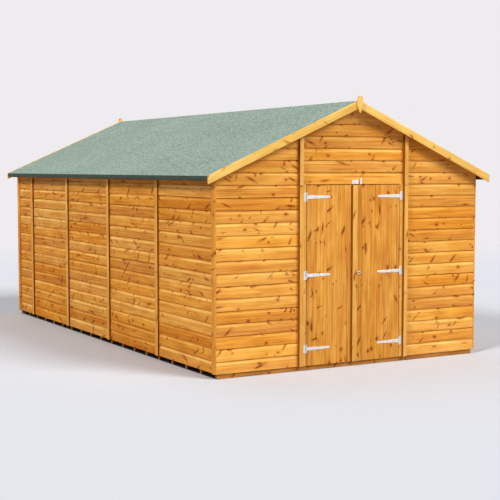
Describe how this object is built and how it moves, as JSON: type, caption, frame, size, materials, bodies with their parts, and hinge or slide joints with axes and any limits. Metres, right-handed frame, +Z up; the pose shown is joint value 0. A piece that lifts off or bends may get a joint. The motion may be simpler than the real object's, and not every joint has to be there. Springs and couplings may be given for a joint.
{
  "type": "apex garden shed",
  "caption": "Long timber garden shed with shiplap walls on a boarded floor, a felted apex roof with bargeboards and finials, and double doors in the front gable.",
  "frame": {"origin": "middle of the footprint, on the ground under the floor joists", "axes": "+Z up, -Y towards the gable with the doors, +X to the right for someone who faces the doors"},
  "size_m": [3.142, 5.544, 2.5146],
  "materials": {
    "cladding": "dip-treated planed softwood shiplap, honey orange",
    "framing": "planed and sawn softwood, pale",
    "trim": "dip-treated planed softwood, golden",
    "roof_felt": "bitumen felt with green mineral granules, matt",
    "galvanised_steel": "bright zinc plated, satin"
  },
  "bodies": {
    "shed": {"left_wall_panel_1": "cladding", "left_wall_panel_2": "cladding", "left_wall_panel_3": "cladding", "left_wall_panel_4": "cladding", "left_wall_panel_5": "cladding", "right_wall_panel_1": "cladding", "right_wall_panel_2": "cladding", "right_wall_panel_3": "cladding", "right_wall_panel_4": "cladding", "right_wall_panel_5": "cladding", "front_left_panel": "cladding", "front_right_panel": "cladding", "front_header_panel": "cladding", "back_left_panel": "cladding", "back_right_panel": "cladding", "floor_joists": "framing", "floor_deck": "framing", "side_wall_studs": "framing", "side_wall_rails": "framing", "gable_studs": "framing", "gable_rails": "framing", "roof_purlins": "framing", "left_roof_boards": "framing", "right_roof_boards": "framing", "eaves_battens": "framing", "front_left_bargeboard": "trim", "front_right_bargeboard": "trim", "back_left_bargeboard": "trim", "back_right_bargeboard": "trim", "front_finial": "trim", "back_finial": "trim", "corner_strips": "trim", "side_cover_strips": "trim", "doorway_posts": "trim", "back_cover_strip": "trim", "door_jambs": "trim", "left_roof_felt": "roof_felt", "right_roof_felt": "roof_felt", "hinge_plates": "galvanised_steel", "door_catch": "galvanised_steel"},
    "left_door": {"left_door_boards": "cladding", "left_door_ledges": "framing", "left_hinge_straps": "galvanised_steel"},
    "right_door": {"right_door_boards": "cladding", "right_door_ledges": "framing", "right_hinge_straps": "galvanised_steel", "door_meeting_strip": "trim", "lock_plate": "galvanised_steel"}
  },
  "joints": [
    {"name": "left_door_hinge", "type": "hinge", "parent": "shed", "child": "left_door", "pos_m": [-0.527, -2.685, 0.87], "axis": [0, 0, -1], "range_deg": [0, 150]},
    {"name": "right_door_hinge", "type": "hinge", "parent": "shed", "child": "right_door", "pos_m": [0.527, -2.685, 0.87], "axis": [0, 0, 1], "range_deg": [0, 150]}
  ]
}
